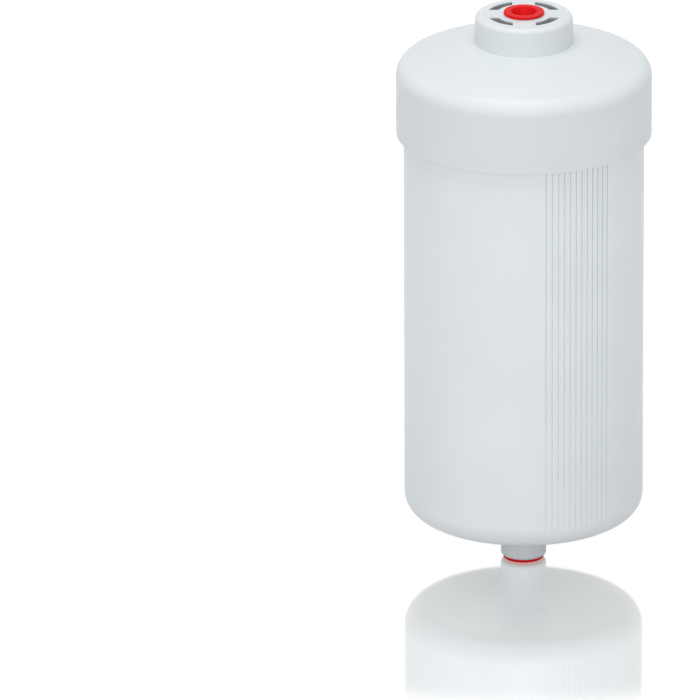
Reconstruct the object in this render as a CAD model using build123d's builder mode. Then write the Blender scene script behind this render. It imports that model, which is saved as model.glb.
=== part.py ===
from build123d import *

import os
from math import cos, radians, sin, sqrt

# Gravity drip filter cartridge: a moulded cup with an outlet neck in its floor, closed by an overlapping
# cap whose raised boss carries a threaded socket and four air vents, with a shipping plug in each end.
# Millimetres. +Z is up along the axis of the cartridge. The origin is on the axis, at the lowest face.

# ---- Driving dimensions ----

# Shipping plug. The same moulding closes the socket and the neck.
plug_flange_thickness = 0.7
plug_flange_lip = 0.4          # how far the flange reaches past the hole that it closes
plug_flange_edge = 0.25        # rounding of the flange's rim
plug_barrel_length = 7.0
plug_barrel_taper = 0.25       # loss of radius from the flange to the tip
plug_tip_chamfer = 0.4
plug_clearance = 0.05          # radial, barrel in its hole
plug_seat_gap = 0.05           # under the flange
plug_dish_wall = 1.85          # width of the flat ring around the dish
plug_dish_depth = 3.4
plug_dish_draw = 1.3           # how far the side of the dish slopes in
plug_dish_fillet = 1.6
plug_core_wall = 1.5
plug_core_depth = 3.0

# Inlet socket: a plain mouth that takes the plug, then the thread, drawn at its minor diameter.
socket_radius = 4.85
socket_mouth_depth = 9.0
thread_minor_radius = 4.0
thread_length = 14.0
hub_wall = 2.35

# Boss on the cap, with the vent slots between it and the hub.
vent_slot_width = 2.3
spoke_width = 5.9
spoke_depth = 6.0
boss_wall = 3.1
boss_rise = 7.45               # top of the boss over the dome at its foot
boss_draft = 0.15
boss_edge_fillet = 1.35
boss_foot_fillet = 0.35

# Cap.
cap_radius = 33.0
skirt_wall = 1.87
roof_thickness = 2.0
roof_ledge = 2.4               # width of the shoulder that lands on the seal
cap_corner_fillet = 4.5
dome_radius = 79.0
corner_rise = 3.53             # edge of the dome, before its rounding, over the shoulder
skirt_overlap = 13.5           # skirt below the rim of the cup
weld_clearance = 0.05          # radial, skirt over cup and neck in its hole
gusset_count = 4
gusset_thickness = 2.0
gusset_reach = 12.0            # beyond the hub
gusset_height = 8.0
hold_down_radius = 25.0
hold_down_thickness = 2.0

# Cup.
cup_wall = 2.0
cup_floor = 2.0
cup_height = 118.0             # underside to rim
cup_draft = 0.15
cup_bottom_fillet = 5.75

# Outlet neck: a tube through the floor of the cup, welded round its root.
neck_wall = 1.05
neck_length = 12.25            # below the cup
neck_end_fillet = 0.9
neck_weld_bead = 0.5

# Panel of fine grooves down the cup, off to one side of the front, which faces -Y.
groove_count = 12
groove_pitch_deg = 3.0
groove_panel_deg = 26.6        # middle of the panel, from the front towards +X
groove_width = 0.35
groove_depth = 0.2
groove_hidden_length = 3.0     # how far the grooves run up inside the skirt

# Seal between the rim of the cup and the shoulder of the cap.
seal_thickness = 1.5
seal_clearance = 0.1

# Filter bed and the discs that hold it.
disc_clearance = 0.3           # radial, between a disc and the wall of the cup
headspace = 7.8                # top of the spreader plate below the rim
plate_thickness = 2.0
plate_margin = 2.5             # solid edge outside the last row of holes
plate_hole_radius = 1.1
plate_hole_rows = 5
plate_holes_per_row = 6        # in the first row; the next has twice as many, and so on
standoff_height = 3.0
standoff_radius = 1.2
standoff_rows = (2, 4)         # each just outside that row of holes
standoffs_per_row = 3          # times the number of the row
screen_thickness = 0.6
screen_rim = 2.0
screen_bar = 0.8
screen_rings = 5
screen_spokes = 12
felt_thickness = 4.0
foam_thickness = 4.0
foam_width = 14.0
strainer_lip = 2.3
strainer_thickness = 1.0
strainer_spigot_length = 2.0
strainer_spigot_wall = 0.9
strainer_hole_radius = 0.8
strainer_hole_count = 6
strainer_hole_circle = 2.5     # radius of the ring of holes

# ---- Sizes that follow from them ----

plug_barrel_radius = socket_radius - plug_clearance
plug_tip_radius = plug_barrel_radius - plug_barrel_taper
plug_core_radius = plug_tip_radius - plug_core_wall
plug_flange_radius = socket_radius + plug_flange_lip
plug_dish_radius = plug_flange_radius - plug_dish_wall

hub_radius = socket_radius + hub_wall
boss_bore_radius = hub_radius + vent_slot_width
boss_radius = boss_bore_radius + boss_wall

skirt_inner_radius = cap_radius - skirt_wall
cup_rim_radius = skirt_inner_radius - weld_clearance
cup_foot_radius = cup_rim_radius - cup_draft
disc_radius = cup_foot_radius - cup_wall - disc_clearance
roof_radius = skirt_inner_radius - roof_ledge
neck_radius = socket_radius + neck_wall

neck_end_z = plug_flange_thickness + plug_seat_gap
cup_underside_z = neck_end_z + neck_length
cup_floor_z = cup_underside_z + cup_floor
rim_z = cup_underside_z + cup_height
skirt_edge_z = rim_z - skirt_overlap
shoulder_z = rim_z + seal_thickness
dome_centre_z = shoulder_z + corner_rise - sqrt(dome_radius**2 - cap_radius**2)
boss_foot_z = dome_centre_z + sqrt(dome_radius**2 - boss_radius**2)
boss_top_z = boss_foot_z + boss_rise
thread_top_z = boss_top_z - socket_mouth_depth
hub_foot_z = thread_top_z - thread_length

support_plate_z = cup_floor_z + standoff_height
lower_screen_z = support_plate_z + plate_thickness
lower_felt_z = lower_screen_z + screen_thickness
bed_z = lower_felt_z + felt_thickness
spreader_top_z = rim_z - headspace
spreader_plate_z = spreader_top_z - plate_thickness
upper_screen_z = spreader_plate_z - screen_thickness
upper_felt_z = upper_screen_z - felt_thickness
foam_top_z = spreader_top_z + foam_thickness

hole_row_pitch = (disc_radius - plate_margin - plate_hole_radius) / plate_hole_rows


def roof_middle_z(radius):
    """Height of the middle of the roof's wall at a distance from the axis."""
    middle_radius = dome_radius - roof_thickness / 2
    return dome_centre_z + sqrt(middle_radius**2 - radius**2)


def plug_section(seat):
    """Half section of a shipping plug. seat has its origin on the face that the plug closes, and its
    Y axis points the way the plug leaves."""
    under = plug_seat_gap
    face = under + plug_flange_thickness
    tip = under - plug_barrel_length
    dish_floor = face - plug_dish_depth
    with BuildSketch(seat) as section:
        with BuildLine():
            Polyline(
                (0, dish_floor),
                (0, tip + plug_core_depth),
                (plug_core_radius, tip + plug_core_depth),
                (plug_core_radius, tip),
                (plug_tip_radius - plug_tip_chamfer, tip),
                (plug_tip_radius, tip + plug_tip_chamfer),
                (plug_barrel_radius, under),
                (plug_flange_radius, under),
                (plug_flange_radius, face),
                (plug_dish_radius, face),
                (plug_dish_radius - plug_dish_draw, dish_floor),
                close=True,
            )
        make_face()
        fillet(section.vertices().group_by(Axis.X)[-1], plug_flange_edge)
        corners = section.vertices()
        floor_corner = (plug_dish_radius - plug_dish_draw, dish_floor)
        fillet(corners.sort_by_distance(floor_corner)[0], plug_dish_fillet)
    return section.sketch


def hole_rows():
    """Rows of holes around a centre hole, as in a perforated plate, for a sketch to subtract."""
    with BuildSketch() as holes:
        Circle(plate_hole_radius)
        for row in range(1, plate_hole_rows + 1):
            with PolarLocations(row * hole_row_pitch, plate_holes_per_row * row):
                Circle(plate_hole_radius)
    return holes.sketch


def screen_outline():
    """Moulded screen: an outer rim, rings inside it, and spokes that tie them together."""
    ring_pitch = (disc_radius - screen_rim) / (screen_rings + 1)
    with BuildSketch() as screen:
        Circle(disc_radius)
        Circle(disc_radius - screen_rim, mode=Mode.SUBTRACT)
        for ring in range(screen_rings, 0, -1):
            Circle(ring * ring_pitch + screen_bar / 2)
            Circle(ring * ring_pitch - screen_bar / 2, mode=Mode.SUBTRACT)
        with PolarLocations(disc_radius / 2, screen_spokes):
            Rectangle(disc_radius - screen_rim, screen_bar)
    return screen.sketch


os.makedirs("parts", exist_ok=True)

# ---- Cup: tapered wall and rounded foot, with the panel of fine grooves ----

with BuildPart() as canister_body:
    with BuildSketch(Plane.XZ) as cup_outside:
        with BuildLine():
            Polyline(
                (0, cup_underside_z),
                (cup_foot_radius, cup_underside_z),
                (cup_rim_radius, skirt_edge_z),
                (cup_rim_radius, rim_z),
                (0, rim_z),
                close=True,
            )
        make_face()
        corners = cup_outside.vertices().group_by(Axis.Y)[0]
        fillet(corners.sort_by(Axis.X)[-1], cup_bottom_fillet)
    revolve(axis=Axis.Z)

    with BuildSketch(Plane.XZ) as cup_inside:
        with BuildLine():
            Polyline(
                (0, cup_floor_z),
                (cup_foot_radius - cup_wall, cup_floor_z),
                (cup_rim_radius - cup_wall, skirt_edge_z),
                (cup_rim_radius - cup_wall, rim_z),
                (0, rim_z),
                close=True,
            )
        make_face()
        corners = cup_inside.vertices().group_by(Axis.Y)[0]
        fillet(corners.sort_by(Axis.X)[-1], cup_bottom_fillet - cup_wall)
    revolve(axis=Axis.Z, mode=Mode.SUBTRACT)

    with BuildSketch(Plane.XY.offset(cup_underside_z)):
        Circle(neck_radius + weld_clearance)
    extrude(amount=cup_floor, mode=Mode.SUBTRACT)

    # The cutter stands proud of the wall, and its inner face is the floor of the groove.
    with BuildSketch(Plane.XY.offset(cup_underside_z)):
        panel_span = groove_pitch_deg * (groove_count - 1)
        with PolarLocations(
            cup_foot_radius,
            groove_count,
            start_angle=groove_panel_deg - 90 - panel_span / 2,
            angular_range=panel_span,
            endpoint=True,
        ):
            Rectangle(2 * groove_depth, groove_width)
    extrude(amount=skirt_edge_z + groove_hidden_length - cup_underside_z, mode=Mode.SUBTRACT)

canister_body.part.label = "canister_body"
export_step(canister_body.part, "parts/canister_body.step")

# ---- Outlet neck: a plain tube with a rounded end, its bore the same as the socket's mouth ----

with BuildPart() as outlet_neck:
    with BuildSketch(Plane.XZ) as tube_wall:
        with BuildLine():
            Polyline(
                (socket_radius, neck_end_z),
                (neck_radius, neck_end_z),
                (neck_radius, cup_underside_z - neck_weld_bead),
                (neck_radius + neck_weld_bead, cup_underside_z),
                (neck_radius, cup_underside_z),
                (neck_radius, cup_floor_z),
                (socket_radius, cup_floor_z),
                close=True,
            )
        make_face()
        corners = tube_wall.vertices().group_by(Axis.Y)[0]
        fillet(corners.sort_by(Axis.X)[-1], neck_end_fillet)
    revolve(axis=Axis.Z)

outlet_neck.part.label = "outlet_neck"
export_step(outlet_neck.part, "parts/outlet_neck.step")

# ---- Cap: skirt, shallow dome and boss, with the threaded hub held by four spokes ----

with BuildPart() as top_cap:
    with BuildSketch(Plane.XZ) as cap_outside:
        with Locations((0, skirt_edge_z)):
            Rectangle(cap_radius, boss_top_z - skirt_edge_z, align=(Align.MIN, Align.MIN))
        with Locations((0, dome_centre_z)):
            Circle(dome_radius, mode=Mode.INTERSECT)
        corners = cap_outside.vertices().group_by(Axis.X)[-1]
        fillet(corners.sort_by(Axis.Y)[-1], cap_corner_fillet)
        with BuildLine():
            Polyline(
                (0, skirt_edge_z),
                (boss_radius + boss_draft, skirt_edge_z),
                (boss_radius + boss_draft, boss_foot_z),
                (boss_radius, boss_top_z),
                (0, boss_top_z),
                close=True,
            )
        make_face()
        corners = cap_outside.vertices()
        fillet(corners.sort_by_distance((boss_radius + boss_draft, boss_foot_z))[0], boss_foot_fillet)
        corners = cap_outside.vertices()
        fillet(corners.sort_by_distance((boss_radius, boss_top_z))[0], boss_edge_fillet)
    revolve(axis=Axis.Z)

    with BuildSketch(Plane.XZ):
        with Locations((0, skirt_edge_z)):
            Rectangle(skirt_inner_radius, shoulder_z - skirt_edge_z, align=(Align.MIN, Align.MIN))
    revolve(axis=Axis.Z, mode=Mode.SUBTRACT)

    # Under the roof: a cavity that follows the dome, open to the vents through the boss.
    ceiling_radius = dome_radius - roof_thickness
    with BuildSketch(Plane.XZ) as cavity:
        with Locations((0, shoulder_z)):
            Rectangle(roof_radius, boss_top_z - shoulder_z, align=(Align.MIN, Align.MIN))
        with Locations((0, dome_centre_z)):
            Circle(ceiling_radius, mode=Mode.INTERSECT)
        with Locations((0, shoulder_z)):
            Rectangle(boss_bore_radius, boss_top_z - shoulder_z, align=(Align.MIN, Align.MIN))
    revolve(axis=Axis.Z, mode=Mode.SUBTRACT)

    with BuildSketch(Plane.XY.offset(hub_foot_z)):
        Circle(hub_radius)
    extrude(amount=boss_top_z - hub_foot_z)

    with BuildSketch(Plane.XY.offset(boss_top_z - spoke_depth)):
        Rectangle(2 * boss_radius, spoke_width)
        Rectangle(spoke_width, 2 * boss_radius)
        Circle(boss_bore_radius + boss_wall / 2, mode=Mode.INTERSECT)
        Circle(hub_radius - hub_wall / 2, mode=Mode.SUBTRACT)
    extrude(amount=spoke_depth)

    for turn in range(gusset_count):
        angle = radians(360 / gusset_count * turn)
        inner_radius = hub_radius - hub_wall / 2
        outer_radius = hub_radius + gusset_reach
        outwards = (cos(angle), sin(angle), 0)
        sideways = (sin(angle), -cos(angle), 0)
        with BuildSketch(Plane(origin=(0, 0, 0), x_dir=outwards, z_dir=sideways)):
            with BuildLine():
                Polyline(
                    (inner_radius, roof_middle_z(inner_radius) - gusset_height),
                    (outer_radius, roof_middle_z(outer_radius)),
                    (inner_radius, roof_middle_z(outer_radius)),
                    close=True,
                )
            make_face()
        extrude(amount=gusset_thickness / 2, both=True)

    with BuildSketch(Plane.XY.offset(foam_top_z)):
        Circle(hold_down_radius)
        Circle(hold_down_radius - hold_down_thickness, mode=Mode.SUBTRACT)
    extrude(amount=roof_middle_z(hold_down_radius) - foam_top_z)

    with BuildSketch(Plane.XY.offset(hub_foot_z)):
        Circle(thread_minor_radius)
    extrude(amount=thread_length, mode=Mode.SUBTRACT)
    with BuildSketch(Plane.XY.offset(thread_top_z)):
        Circle(socket_radius)
    extrude(amount=socket_mouth_depth, mode=Mode.SUBTRACT)

top_cap.part.label = "top_cap"
export_step(top_cap.part, "parts/top_cap.step")

# ---- Seal: a flat ring on the rim of the cup, under the shoulder of the cap ----

with BuildPart() as rim_seal:
    with BuildSketch(Plane.XY.offset(rim_z)):
        Circle(skirt_inner_radius - seal_clearance)
        Circle(cup_rim_radius - cup_wall, mode=Mode.SUBTRACT)
    extrude(amount=seal_thickness)

rim_seal.part.label = "rim_seal"
export_step(rim_seal.part, "parts/rim_seal.step")

# ---- Shipping plugs: one pushed down into the socket, one pushed up into the neck ----

with BuildPart() as inlet_plug:
    revolve(
        plug_section(Plane(origin=(0, 0, boss_top_z), x_dir=(1, 0, 0), z_dir=(0, -1, 0))),
        axis=Axis.Z,
    )

inlet_plug.part.label = "inlet_plug"
export_step(inlet_plug.part, "parts/inlet_plug.step")

with BuildPart() as outlet_plug:
    revolve(
        plug_section(Plane(origin=(0, 0, neck_end_z), x_dir=(1, 0, 0), z_dir=(0, 1, 0))),
        axis=Axis.Z,
    )

outlet_plug.part.label = "outlet_plug"
export_step(outlet_plug.part, "parts/outlet_plug.step")

# ---- Strainer over the outlet: a lipped disc whose spigot drops into the neck ----

with BuildPart() as outlet_strainer:
    spigot_radius = socket_radius - plug_clearance
    with BuildSketch(Plane.XY.offset(cup_floor_z)):
        Circle(socket_radius + strainer_lip)
    extrude(amount=strainer_thickness)
    with BuildSketch(Plane.XY.offset(cup_floor_z - strainer_spigot_length)):
        Circle(spigot_radius)
        Circle(spigot_radius - strainer_spigot_wall, mode=Mode.SUBTRACT)
    extrude(amount=strainer_spigot_length)
    with BuildSketch(Plane.XY.offset(cup_floor_z)):
        Circle(strainer_hole_radius)
        with PolarLocations(strainer_hole_circle, strainer_hole_count):
            Circle(strainer_hole_radius)
    extrude(amount=strainer_thickness, mode=Mode.SUBTRACT)

outlet_strainer.part.label = "outlet_strainer"
export_step(outlet_strainer.part, "parts/outlet_strainer.step")

# ---- Support plate: perforated, on posts that stand between its rows of holes ----

with BuildPart() as support_plate:
    with BuildSketch(Plane.XY.offset(support_plate_z)):
        Circle(disc_radius)
        add(hole_rows(), mode=Mode.SUBTRACT)
    extrude(amount=plate_thickness)
    with BuildSketch(Plane.XY.offset(cup_floor_z)):
        for row in standoff_rows:
            with PolarLocations((row + 0.5) * hole_row_pitch, standoffs_per_row * row):
                Circle(standoff_radius)
    extrude(amount=standoff_height)

support_plate.part.label = "support_plate"
export_step(support_plate.part, "parts/support_plate.step")

# ---- Spreader plate: perforated, so that the drip is shared out over the whole bed ----

with BuildPart() as spreader_plate:
    with BuildSketch(Plane.XY.offset(spreader_plate_z)):
        Circle(disc_radius)
        add(hole_rows(), mode=Mode.SUBTRACT)
    extrude(amount=plate_thickness)

spreader_plate.part.label = "spreader_plate"
export_step(spreader_plate.part, "parts/spreader_plate.step")

# ---- Screens on both sides of the bed ----

with BuildPart() as lower_screen:
    with BuildSketch(Plane.XY.offset(lower_screen_z)):
        add(screen_outline())
    extrude(amount=screen_thickness)

lower_screen.part.label = "lower_screen"
export_step(lower_screen.part, "parts/lower_screen.step")

with BuildPart() as upper_screen:
    with BuildSketch(Plane.XY.offset(upper_screen_z)):
        add(screen_outline())
    extrude(amount=screen_thickness)

upper_screen.part.label = "upper_screen"
export_step(upper_screen.part, "parts/upper_screen.step")

# ---- Felt pads, the bed of granules between them, and the foam ring under the cap ----

with BuildPart() as lower_felt_pad:
    with BuildSketch(Plane.XY.offset(lower_felt_z)):
        Circle(disc_radius)
    extrude(amount=felt_thickness)

lower_felt_pad.part.label = "lower_felt_pad"
export_step(lower_felt_pad.part, "parts/lower_felt_pad.step")

with BuildPart() as media_bed:
    with BuildSketch(Plane.XY.offset(bed_z)):
        Circle(disc_radius)
    extrude(amount=upper_felt_z - bed_z)

media_bed.part.label = "media_bed"
export_step(media_bed.part, "parts/media_bed.step")

with BuildPart() as upper_felt_pad:
    with BuildSketch(Plane.XY.offset(upper_felt_z)):
        Circle(disc_radius)
    extrude(amount=felt_thickness)

upper_felt_pad.part.label = "upper_felt_pad"
export_step(upper_felt_pad.part, "parts/upper_felt_pad.step")

with BuildPart() as foam_ring:
    with BuildSketch(Plane.XY.offset(spreader_top_z)):
        Circle(disc_radius)
        Circle(disc_radius - foam_width, mode=Mode.SUBTRACT)
    extrude(amount=foam_thickness)

foam_ring.part.label = "foam_ring"
export_step(foam_ring.part, "parts/foam_ring.step")
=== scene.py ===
import math

import bmesh
import bpy
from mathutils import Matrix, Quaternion, Vector, noise


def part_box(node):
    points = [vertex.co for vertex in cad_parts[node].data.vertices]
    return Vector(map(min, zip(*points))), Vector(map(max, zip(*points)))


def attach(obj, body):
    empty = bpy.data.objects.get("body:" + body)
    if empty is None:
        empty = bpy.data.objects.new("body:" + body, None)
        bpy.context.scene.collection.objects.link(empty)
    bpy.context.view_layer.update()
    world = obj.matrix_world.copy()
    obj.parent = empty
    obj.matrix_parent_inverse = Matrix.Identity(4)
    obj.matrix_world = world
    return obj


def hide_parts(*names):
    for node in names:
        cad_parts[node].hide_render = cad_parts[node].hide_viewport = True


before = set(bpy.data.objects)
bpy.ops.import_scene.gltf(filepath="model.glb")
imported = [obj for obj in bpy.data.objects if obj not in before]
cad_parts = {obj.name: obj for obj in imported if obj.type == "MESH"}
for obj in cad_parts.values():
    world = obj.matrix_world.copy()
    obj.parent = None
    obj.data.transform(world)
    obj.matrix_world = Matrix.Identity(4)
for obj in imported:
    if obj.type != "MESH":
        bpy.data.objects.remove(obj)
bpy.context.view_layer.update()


# ---- Cup ----
# The body of the cartridge is a deep cup, injection moulded in one shot from white polypropylene. The
# tool leaves a satin skin with a fine spark-eroded grain, and the wall ripples a little where it
# shrank. Its slight draft, rounded foot and panel of fine grooves are in the solid itself.

cup_white = (0.795, 0.840, 0.865)
cup_shade = (0.765, 0.812, 0.838)
cup_roughness = (0.34, 0.46)
cup_grain_depth = 0.000008
cup_ripple_depth = 0.00006


def place_in(nodes):
    """Where a point is on the object, in metres."""
    return nodes.new("ShaderNodeTexCoord").outputs["Object"]


def noise_in(nodes, links, scale, detail):
    """A noise pattern that has about this many features to the metre."""
    noise = nodes.new("ShaderNodeTexNoise")
    noise.inputs["Scale"].default_value = scale
    noise.inputs["Detail"].default_value = detail
    links.new(place_in(nodes), noise.inputs["Vector"])
    return noise.outputs["Fac"]


def blend_in(nodes, links, pattern, dark, light):
    """Clouds of two shades that follow a pattern."""
    tint = nodes.new("ShaderNodeValToRGB")
    tint.color_ramp.elements[0].position = 0.3
    tint.color_ramp.elements[0].color = (*dark, 1)
    tint.color_ramp.elements[1].position = 0.7
    tint.color_ramp.elements[1].color = (*light, 1)
    links.new(pattern, tint.inputs["Fac"])
    return tint.outputs["Color"]


def range_in(nodes, links, pattern, ends):
    """A value that runs between two ends as a pattern does."""
    spread = nodes.new("ShaderNodeMapRange")
    spread.inputs["To Min"].default_value = ends[0]
    spread.inputs["To Max"].default_value = ends[1]
    links.new(pattern, spread.inputs["Value"])
    return spread.outputs["Result"]


def relief_in(nodes, links, pattern, depth, under=None):
    """Bumps of a real depth, laid over another relief if one is given."""
    bump = nodes.new("ShaderNodeBump")
    bump.inputs["Distance"].default_value = depth
    links.new(pattern, bump.inputs["Height"])
    if under is not None:
        links.new(under, bump.inputs["Normal"])
    return bump.outputs["Normal"]


def moulded_plastic(name, light, dark, roughness, grain_depth, ripple_depth, shine=0.4):
    """A moulded finish: clouded colour, uneven gloss, fine grain from the tool and slow ripples."""
    skin = bpy.data.materials.new(name)
    skin.use_nodes = True
    nodes, links = skin.node_tree.nodes, skin.node_tree.links
    surface = nodes["Principled BSDF"]
    surface.inputs["IOR"].default_value = 1.49
    surface.inputs["Specular IOR Level"].default_value = shine
    clouds = noise_in(nodes, links, 45, 3)
    links.new(blend_in(nodes, links, clouds, dark, light), surface.inputs["Base Color"])
    links.new(range_in(nodes, links, clouds, roughness), surface.inputs["Roughness"])
    ripples = relief_in(nodes, links, noise_in(nodes, links, 70, 2), ripple_depth)
    grain = relief_in(nodes, links, noise_in(nodes, links, 2400, 2), grain_depth, ripples)
    links.new(grain, surface.inputs["Normal"])
    return skin


def finish_node(name, skin):
    """Gives a solid of the frame its finish."""
    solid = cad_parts[name]
    solid.data.materials.clear()
    solid.data.materials.append(skin)


cup_skin = moulded_plastic(
    "cup_polypropylene", cup_white, cup_shade, cup_roughness, cup_grain_depth, cup_ripple_depth
)
finish_node("canister_body", cup_skin)


# ---- Outlet neck ----
# A plain tube of the same white polypropylene, welded into the floor of the cup. Its bore takes the
# spigot of the strainer at the top and a shipping plug at the bottom.

finish_node("outlet_neck", cup_skin)


# ---- Strainer, plates and screens ----
# Small mouldings in natural polypropylene, which is milky and a little yellow where nothing colours
# it. The strainer drops into the neck, and the plates and screens lie loose on each other.

natural_milk = (0.72, 0.71, 0.66)
natural_shade = (0.66, 0.65, 0.59)
natural_roughness = (0.28, 0.40)

natural_skin = moulded_plastic(
    "natural_polypropylene", natural_milk, natural_shade, natural_roughness, 0.000006, 0.00004
)
for name in ("outlet_strainer", "support_plate", "spreader_plate", "lower_screen", "upper_screen"):
    finish_node(name, natural_skin)


# ---- Felt pads ----
# Two discs punched from needled polyester felt, one under the bed and one over it. The faces are
# matted and uneven, and the cut edge frays a little.

felt_cream = (0.78, 0.77, 0.72)
felt_shade = (0.58, 0.57, 0.52)
felt_edge = 0.0005
felt_pitch = 0.0008
felt_unevenness = 0.00025
felt_lump = 0.0022


def turned_ring(name, node, hole, edge, pitch, unevenness, lump):
    """A soft disc or ring in the space of a solid, with rounded edges and a lumpy surface."""
    low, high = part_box(node)
    rim = high.x
    bottom, top = low.z, high.z
    body = bmesh.new()
    if hole:
        corners = [(hole, bottom), (rim, bottom), (rim, top), (hole, top)]
    else:
        corners = [(0, bottom), (rim, bottom), (rim, top), (0, top)]
    line = [body.verts.new((radius, 0, height)) for radius, height in corners]
    sides = [body.edges.new((line[at], line[at + 1])) for at in range(3)]
    if hole:
        sides.append(body.edges.new((line[3], line[0])))
    rounded = [vert for vert in line if vert.co.x > hole or hole]
    rounded = [vert for vert in rounded if vert.co.x > 0]
    bmesh.ops.bevel(
        body, geom=rounded, offset=edge, segments=3, profile=0.5, affect="VERTICES", material=-1
    )
    for side in list(body.edges):
        cuts = int(side.calc_length() / pitch)
        if cuts:
            bmesh.ops.subdivide_edges(body, edges=[side], cuts=cuts)
    bmesh.ops.spin(
        body, geom=body.verts[:] + body.edges[:], cent=(0, 0, 0), axis=(0, 0, 1),
        angle=2 * math.pi, steps=int(2 * math.pi * rim / pitch), use_merge=True,
    )
    bmesh.ops.remove_doubles(body, verts=body.verts, dist=0.000001)
    bmesh.ops.recalc_face_normals(body, faces=body.faces)
    body.normal_update()
    for vert in body.verts:
        hollow = noise.noise(vert.co / lump) * 0.5 + 0.5
        vert.co -= vert.normal * hollow * unevenness
    mesh = bpy.data.meshes.new(name)
    body.to_mesh(mesh)
    body.free()
    for face in mesh.polygons:
        face.use_smooth = True
    piece = bpy.data.objects.new(name, mesh)
    bpy.context.scene.collection.objects.link(piece)
    return piece


def seat_piece(piece, node, skin):
    """Puts a new piece in the place of a solid, on the cartridge."""
    piece.data.materials.append(skin)
    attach(piece, "cartridge")
    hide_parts(node)


felt_skin = bpy.data.materials.new("needled_felt")
felt_skin.use_nodes = True
nodes, links = felt_skin.node_tree.nodes, felt_skin.node_tree.links
surface = nodes["Principled BSDF"]
surface.inputs["Sheen Weight"].default_value = 0.4
surface.inputs["Specular IOR Level"].default_value = 0.2
fibres = noise_in(nodes, links, 2600, 6)
mats = noise_in(nodes, links, 260, 4)
links.new(blend_in(nodes, links, mats, felt_shade, felt_cream), surface.inputs["Base Color"])
links.new(range_in(nodes, links, fibres, (0.85, 1.0)), surface.inputs["Roughness"])
matted = relief_in(nodes, links, mats, 0.0003)
links.new(relief_in(nodes, links, fibres, 0.0002, matted), surface.inputs["Normal"])

for name in ("lower_felt", "upper_felt"):
    pad = turned_ring(
        name, name + "_pad", 0, felt_edge, felt_pitch, felt_unevenness, felt_lump
    )
    seat_piece(pad, name + "_pad", felt_skin)


# ---- Filter bed ----
# A packed column of activated alumina granules about 1.5 mm across. They are porous, dry and
# off-white, and the outermost ones stand out as bumps against the wall of the cup.

granule_pale = (0.74, 0.71, 0.66)
# Painted shade: each granule's colour darkens from its middle to its edge, into the gaps between
# granules.
granule_gap_painted_shade = (0.42, 0.39, 0.35)
granule_size = 0.0015
granule_pitch = 0.0008
granule_relief = 0.0005

bed = turned_ring(
    "granule_bed", "media_bed", 0, granule_size / 3, granule_pitch, 0, granule_size
)
bed.data.update()
for vert, normal in zip(bed.data.vertices, [n.vector.copy() for n in bed.data.vertex_normals]):
    gaps = noise.voronoi(vert.co / granule_size)[0]
    vert.co -= normal * min(gaps[0], 1.0) ** 2 * granule_relief

bed_skin = bpy.data.materials.new("alumina_granules")
bed_skin.use_nodes = True
nodes, links = bed_skin.node_tree.nodes, bed_skin.node_tree.links
surface = nodes["Principled BSDF"]
surface.inputs["Specular IOR Level"].default_value = 0.25
grains = nodes.new("ShaderNodeTexVoronoi")
grains.inputs["Scale"].default_value = 1 / granule_size
links.new(place_in(nodes), grains.inputs["Vector"])
pores = noise_in(nodes, links, 3200, 3)
# Painted shade in the gaps between granules.
links.new(
    blend_in(nodes, links, grains.outputs["Distance"], granule_pale, granule_gap_painted_shade),
    surface.inputs["Base Color"],
)
links.new(range_in(nodes, links, pores, (0.8, 1.0)), surface.inputs["Roughness"])
links.new(relief_in(nodes, links, pores, 0.0001), surface.inputs["Normal"])
seat_piece(bed, "media_bed", bed_skin)


# ---- Foam ring ----
# A ring of grey open-cell foam that the cap presses down on the spreader plate. Its cut faces show
# the cells as small pits, each painted darker towards its middle as painted shade.

foam_grey = (0.34, 0.35, 0.36)
foam_pit_painted_shade = (0.10, 0.10, 0.11)
foam_cell = 0.0009
foam_hole = 0.01463

foam_skin = bpy.data.materials.new("open_cell_foam")
foam_skin.use_nodes = True
nodes, links = foam_skin.node_tree.nodes, foam_skin.node_tree.links
surface = nodes["Principled BSDF"]
surface.inputs["Specular IOR Level"].default_value = 0.2
cells = nodes.new("ShaderNodeTexVoronoi")
cells.inputs["Scale"].default_value = 1 / foam_cell
links.new(place_in(nodes), cells.inputs["Vector"])
depth = cells.outputs["Distance"]
# Painted shade: the colour darkens towards the middle of each cell pit.
links.new(blend_in(nodes, links, depth, foam_pit_painted_shade, foam_grey), surface.inputs["Base Color"])
links.new(range_in(nodes, links, depth, (1.0, 0.85)), surface.inputs["Roughness"])
links.new(relief_in(nodes, links, depth, 0.0004), surface.inputs["Normal"])

foam = turned_ring("foam_collar", "foam_ring", foam_hole, 0.0004, 0.0007, 0.0002, foam_cell)
seat_piece(foam, "foam_ring", foam_skin)


# ---- Rim seal ----
# A flat ring cut from black rubber sheet, clamped between the rim of the cup and the shoulder of the
# cap. Its faces carry the dull bloom of cured rubber.

seal_black = (0.035, 0.035, 0.036)
seal_bloom = (0.060, 0.060, 0.062)

seal_skin = moulded_plastic("seal_rubber", seal_bloom, seal_black, (0.55, 0.75), 0.00002, 0.00004)
finish_node("rim_seal", seal_skin)


# ---- Cap ----
# Moulded from the same white polypropylene. Its white is a shade greyer than the cup's: painted
# shade on the cap. The skirt is welded over the cup. The walls of the four deep, narrow vent slots in
# the boss are painted dark grey: painted shade.

# The cap's whites are greyer copies of the cup's white: painted shade.
cap_white_painted_shade = (0.720, 0.761, 0.787)
cap_dark_painted_shade = (0.694, 0.737, 0.763)
# Painted shade: the slot walls are painted this dark grey from just under the top of the boss down.
slot_wall_painted_shade = (0.40, 0.405, 0.415)
slot_middle = 0.00835
slot_half_width = 0.00122
slot_shade_top = 0.00005
slot_shade_end = 0.00045

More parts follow.
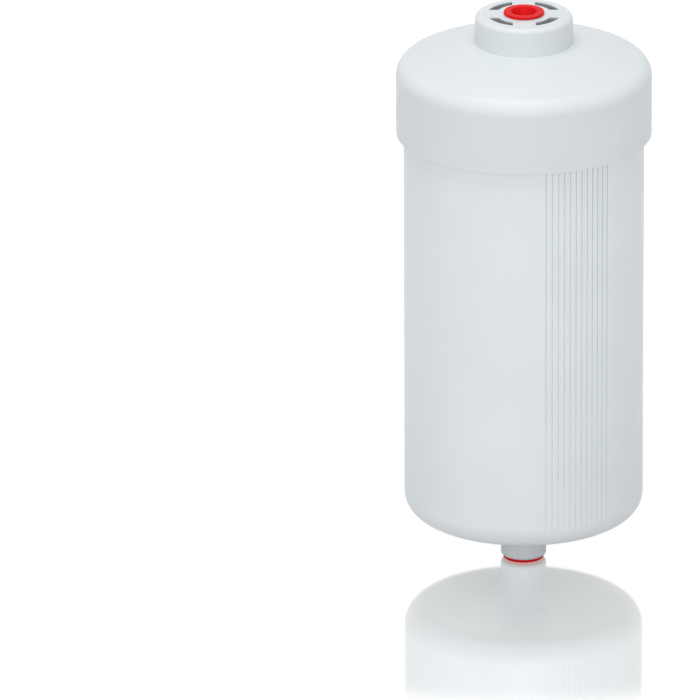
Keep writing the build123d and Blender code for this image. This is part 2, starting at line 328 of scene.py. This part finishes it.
cap_painted_shade_skin = moulded_plastic(
    "cap_polypropylene_painted_shade", cap_white_painted_shade, cap_dark_painted_shade, cup_roughness, cup_grain_depth, cup_ripple_depth
)
nodes, links = cap_painted_shade_skin.node_tree.nodes, cap_painted_shade_skin.node_tree.links
surface = nodes["Principled BSDF"]
boss_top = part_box("top_cap")[1].z
point = nodes.new("ShaderNodeSeparateXYZ")
links.new(place_in(nodes), point.inputs[0])
flat = nodes.new("ShaderNodeCombineXYZ")
links.new(point.outputs["X"], flat.inputs["X"])
links.new(point.outputs["Y"], flat.inputs["Y"])
reach = nodes.new("ShaderNodeVectorMath")
reach.operation = "LENGTH"
links.new(flat.outputs[0], reach.inputs[0])
in_slot = nodes.new("ShaderNodeMath")
in_slot.operation = "COMPARE"
in_slot.inputs[1].default_value = slot_middle
in_slot.inputs[2].default_value = slot_half_width
links.new(reach.outputs["Value"], in_slot.inputs[0])
below = nodes.new("ShaderNodeMapRange")
below.inputs["From Min"].default_value = boss_top - slot_shade_end
below.inputs["From Max"].default_value = boss_top - slot_shade_top
below.inputs["To Min"].default_value = 1
below.inputs["To Max"].default_value = 0
links.new(point.outputs["Z"], below.inputs["Value"])
# How much painted shade the slot walls get: inside the ring of the slots and below the top of the
# boss.
slot_painted_shade_amount = nodes.new("ShaderNodeMath")
slot_painted_shade_amount.operation = "MULTIPLY"
links.new(in_slot.outputs[0], slot_painted_shade_amount.inputs[0])
links.new(below.outputs["Result"], slot_painted_shade_amount.inputs[1])
painted = surface.inputs["Base Color"].links[0].from_socket
# Mixes the painted shade of the slots into the cap's colour.
wall = nodes.new("ShaderNodeMix")
wall.data_type = "RGBA"
wall.inputs[7].default_value = (*slot_wall_painted_shade, 1)
links.new(slot_painted_shade_amount.outputs[0], wall.inputs[0])
links.new(painted, wall.inputs[6])
links.new(wall.outputs[2], surface.inputs["Base Color"])
finish_node("top_cap", cap_painted_shade_skin)


# ---- Shipping plugs ----
# Two soft red polyethylene plugs from one tool, pushed into the socket and the neck by hand. They are
# more matt than the white mouldings, and pull out for use.

plug_red = (0.80, 0.005, 0.007)
plug_shade = (0.66, 0.003, 0.005)
plug_roughness = (0.42, 0.55)
plug_shine = 0.15

plug_skin = moulded_plastic(
    "red_polyethylene", plug_red, plug_shade, plug_roughness, 0.000006, 0.00004, plug_shine
)
finish_node("inlet_plug", plug_skin)
finish_node("outlet_plug", plug_skin)


# ---- Floor ----
# A polished white acrylic sheet. It mirrors what stands on it and fades to a matt white further out,
# and it keeps a faint shadow under the cup. Seen from below it is clear, so the underside shows.

sheet_half_width = 6.0
mirror_share = 0.66
mirror_reach = 0.092
mirror_end = 0.120
sheet_glow = 0.85
sheet_grey = 0.35
sheet_bounce = 0.55

sheet = bmesh.new()
bmesh.ops.create_grid(sheet, x_segments=1, y_segments=1, size=sheet_half_width)
floor_mesh = bpy.data.meshes.new("floor")
sheet.to_mesh(floor_mesh)
sheet.free()
floor = bpy.data.objects.new("floor", floor_mesh)
bpy.context.scene.collection.objects.link(floor)

sheet_skin = bpy.data.materials.new("polished_white_sheet")
sheet_skin.use_nodes = True
nodes, links = sheet_skin.node_tree.nodes, sheet_skin.node_tree.links
nodes.remove(nodes["Principled BSDF"])

glow = nodes.new("ShaderNodeEmission")
glow.inputs["Color"].default_value = (sheet_glow, sheet_glow, sheet_glow, 1)
paint = nodes.new("ShaderNodeBsdfDiffuse")
paint.inputs["Color"].default_value = (sheet_grey, sheet_grey, sheet_grey, 1)
lit_sheet = nodes.new("ShaderNodeAddShader")
links.new(glow.outputs[0], lit_sheet.inputs[0])
links.new(paint.outputs[0], lit_sheet.inputs[1])
polish = nodes.new("ShaderNodeBsdfGlossy")
polish.inputs["Roughness"].default_value = 0.06
polish.inputs["Color"].default_value = (1, 1, 1, 1)

place = nodes.new("ShaderNodeTexCoord").outputs["Object"]
distance = nodes.new("ShaderNodeVectorMath")
distance.operation = "LENGTH"
links.new(place, distance.inputs[0])
fade = nodes.new("ShaderNodeMapRange")
fade.interpolation_type = "SMOOTHSTEP"
fade.inputs["From Min"].default_value = mirror_reach
fade.inputs["From Max"].default_value = mirror_end
fade.inputs["To Min"].default_value = mirror_share
fade.inputs["To Max"].default_value = 0.02
links.new(distance.outputs["Value"], fade.inputs["Value"])
seen_sheet = nodes.new("ShaderNodeMixShader")
links.new(fade.outputs["Result"], seen_sheet.inputs[0])
links.new(lit_sheet.outputs[0], seen_sheet.inputs[1])
links.new(polish.outputs[0], seen_sheet.inputs[2])

bounce = nodes.new("ShaderNodeBsdfDiffuse")
bounce.inputs["Color"].default_value = (sheet_bounce, sheet_bounce, sheet_bounce, 1)
path = nodes.new("ShaderNodeLightPath")
lighting = nodes.new("ShaderNodeMixShader")
links.new(path.outputs["Is Diffuse Ray"], lighting.inputs[0])
links.new(seen_sheet.outputs[0], lighting.inputs[1])
links.new(bounce.outputs[0], lighting.inputs[2])

clear = nodes.new("ShaderNodeBsdfTransparent")
side = nodes.new("ShaderNodeNewGeometry")
one_way = nodes.new("ShaderNodeMixShader")
links.new(side.outputs["Backfacing"], one_way.inputs[0])
links.new(lighting.outputs[0], one_way.inputs[1])
links.new(clear.outputs[0], one_way.inputs[2])
links.new(one_way.outputs[0], nodes["Material Output"].inputs["Surface"])
floor.data.materials.append(sheet_skin)


# ---- World ----

world = bpy.data.worlds.new("white_studio")
bpy.context.scene.world = world
world.use_nodes = True
nodes, links = world.node_tree.nodes, world.node_tree.links
room = nodes["Background"]
room.inputs["Strength"].default_value = 0.55
backdrop = nodes.new("ShaderNodeBackground")
backdrop.inputs["Color"].default_value = (1, 1, 1, 1)
backdrop.inputs["Strength"].default_value = 1.0
room.inputs["Color"].default_value = (1, 1, 1, 1)
path = nodes.new("ShaderNodeLightPath")
seen = nodes.new("ShaderNodeMath")
seen.operation = "MAXIMUM"
links.new(path.outputs["Is Camera Ray"], seen.inputs[0])
links.new(path.outputs["Is Glossy Ray"], seen.inputs[1])
either = nodes.new("ShaderNodeMath")
either.operation = "MAXIMUM"
links.new(seen.outputs[0], either.inputs[0])
links.new(path.outputs["Is Transmission Ray"], either.inputs[1])
choice = nodes.new("ShaderNodeMixShader")
links.new(either.outputs[0], choice.inputs[0])
links.new(room.outputs[0], choice.inputs[1])
links.new(backdrop.outputs[0], choice.inputs[2])
links.new(choice.outputs[0], nodes["World Output"].inputs["Surface"])

# ---- Lamps ----


def softbox(name, place, aim, side, power):
    light = bpy.data.lights.new(name, "AREA")
    light.shape = "SQUARE"
    light.size = side
    light.energy = power
    lamp = bpy.data.objects.new(name, light)
    lamp.location = place
    lamp.rotation_euler = (Vector(aim) - Vector(place)).to_track_quat("-Z", "Y").to_euler()
    lamp.visible_camera = False
    bpy.context.scene.collection.objects.link(lamp)


softbox("overhead_softbox", (-0.1, -0.25, 1.5), (0, 0, 0.08), 1.0, 9.2)
softbox("front_softbox", (0.0, -1.7, 0.65), (0, 0, 0.08), 1.0, 7.8)
softbox("left_softbox", (-1.5, -0.7, 0.6), (0, 0, 0.08), 0.9, 0.9)

# ---- Camera ----

camera_elevation = math.radians(20.66)
camera_roll = math.radians(-0.15)
camera_distance = 5.0
framed_width = 0.18135
sensor_width = 36.0
aim = Vector((-0.0450, 0.0, 0.0573))

lens = bpy.data.cameras.new("camera")
lens.sensor_width = sensor_width
lens.lens = sensor_width * camera_distance / framed_width
lens.clip_start = 0.1
lens.clip_end = 20
camera = bpy.data.objects.new("camera", lens)
back = Vector((0, -math.cos(camera_elevation), math.sin(camera_elevation)))
camera.location = aim + back * camera_distance
camera.rotation_mode = "QUATERNION"
camera.rotation_quaternion = Quaternion(back, camera_roll) @ (-back).to_track_quat("-Z", "Y")
bpy.context.scene.collection.objects.link(camera)
bpy.context.scene.camera = camera
bpy.context.scene.view_settings.view_transform = "Standard"
